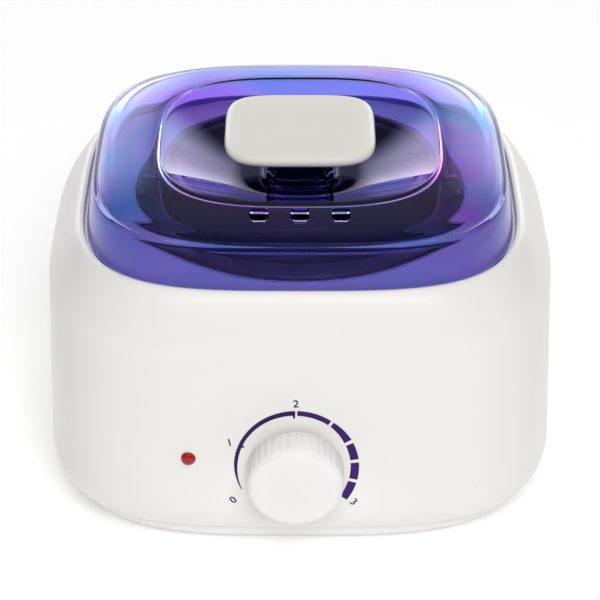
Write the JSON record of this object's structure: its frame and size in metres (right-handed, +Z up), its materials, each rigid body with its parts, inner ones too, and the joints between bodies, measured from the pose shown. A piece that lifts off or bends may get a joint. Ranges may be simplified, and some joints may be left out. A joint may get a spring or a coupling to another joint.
{
  "type": "wax warmer pot",
  "caption": "White rounded-square wax warmer with a tinted violet lift-off lid, a lift-out aluminium wax pot, a front thermostat dial and a red lamp.",
  "frame": {"origin": "on the surface that it stands on, under the middle of its footprint", "axes": "+Z up, -Y is the front with the dial, +X to the right seen from the front"},
  "size_m": [0.205, 0.198, 0.1426],
  "materials": {
    "housing_white": "smooth moulded white, glossy",
    "grip_white": "smooth moulded off-white, semi-gloss",
    "tray_white": "fine moulded texture",
    "lid_violet": "clear violet-blue tint, polished",
    "aluminium": "spun, satin",
    "steel": "zinc plated",
    "brass": "turned",
    "rubber_grey": "matte",
    "cord_grey": "matte",
    "lens_red": "clear red, polished",
    "lamp_glass": "clear",
    "ceramic": "unglazed moulded block",
    "mica": "mica-faced heater band",
    "blanket": "glass-fibre felt",
    "wire_brown": "insulated wire",
    "wire_blue": "insulated wire",
    "wire_green": "insulated wire",
    "wire_white": "glass-sleeved wire",
    "wire_red": "insulated wire",
    "fuse_alloy": "tinned case"
  },
  "bodies": {
    "root": {"housing_shell": "housing_white", "base_tray": "tray_white", "base_screws": "steel", "rubber_feet": "rubber_grey", "heating_well": "aluminium", "well_strap": "steel", "well_nut": "steel", "strap_screws": "steel", "heater_band": "mica", "heater_clamp_bolt": "steel", "heater_blanket": "blanket", "heater_terminals": "steel", "thermostat_body": "ceramic", "thermostat_bushing": "brass", "thermostat_nut": "steel", "thermostat_terminals": "steel", "thermal_fuse": "fuse_alloy", "fuse_clip": "steel", "indicator_lens": "lens_red", "neon_lamp": "lamp_glass", "lamp_push_nut": "steel", "cord_gland": "cord_grey", "cord_clamp": "tray_white", "cord_clamp_screws": "steel", "terminal_block": "ceramic", "terminal_block_screw": "steel", "terminal_screws": "steel", "push_on_connectors": "wire_white", "live_lead": "wire_brown", "neutral_lead": "wire_blue", "earth_lead": "wire_green", "heater_leads": "wire_white", "lamp_leads": "wire_red"},
    "pot": {"wax_pot": "aluminium", "pot_lugs": "steel", "pot_rivets": "aluminium"},
    "handle": {"bail_handle": "steel"},
    "lid": {"lid_shell": "lid_violet", "lid_grip_plate": "grip_white", "lid_grip_screws": "steel"},
    "dial": {"dial_knob": "housing_white", "thermostat_shaft": "steel"}
  },
  "joints": [
    {"name": "pot_lift", "type": "slide", "parent": "root", "child": "pot", "axis": [0, 0, 1], "range_m": [0, 0.12]},
    {"name": "lid_lift", "type": "slide", "parent": "pot", "child": "lid", "axis": [0, 0, 1], "range_m": [0, 0.17]},
    {"name": "handle_swing", "type": "hinge", "parent": "pot", "child": "handle", "pos_m": [0, 0.00447, 0.1173], "axis": [1, 0, 0], "range_deg": [0, 180]},
    {"name": "dial_turn", "type": "hinge", "parent": "root", "child": "dial", "pos_m": [-0.0018, -0.08518, 0.0428], "axis": [0, 1, 0], "range_deg": [0, 245]}
  ],
  "couplings": [
    {"joint": "handle_swing", "follows": "lid_lift", "rad_per_m": 18.4}
  ]
}
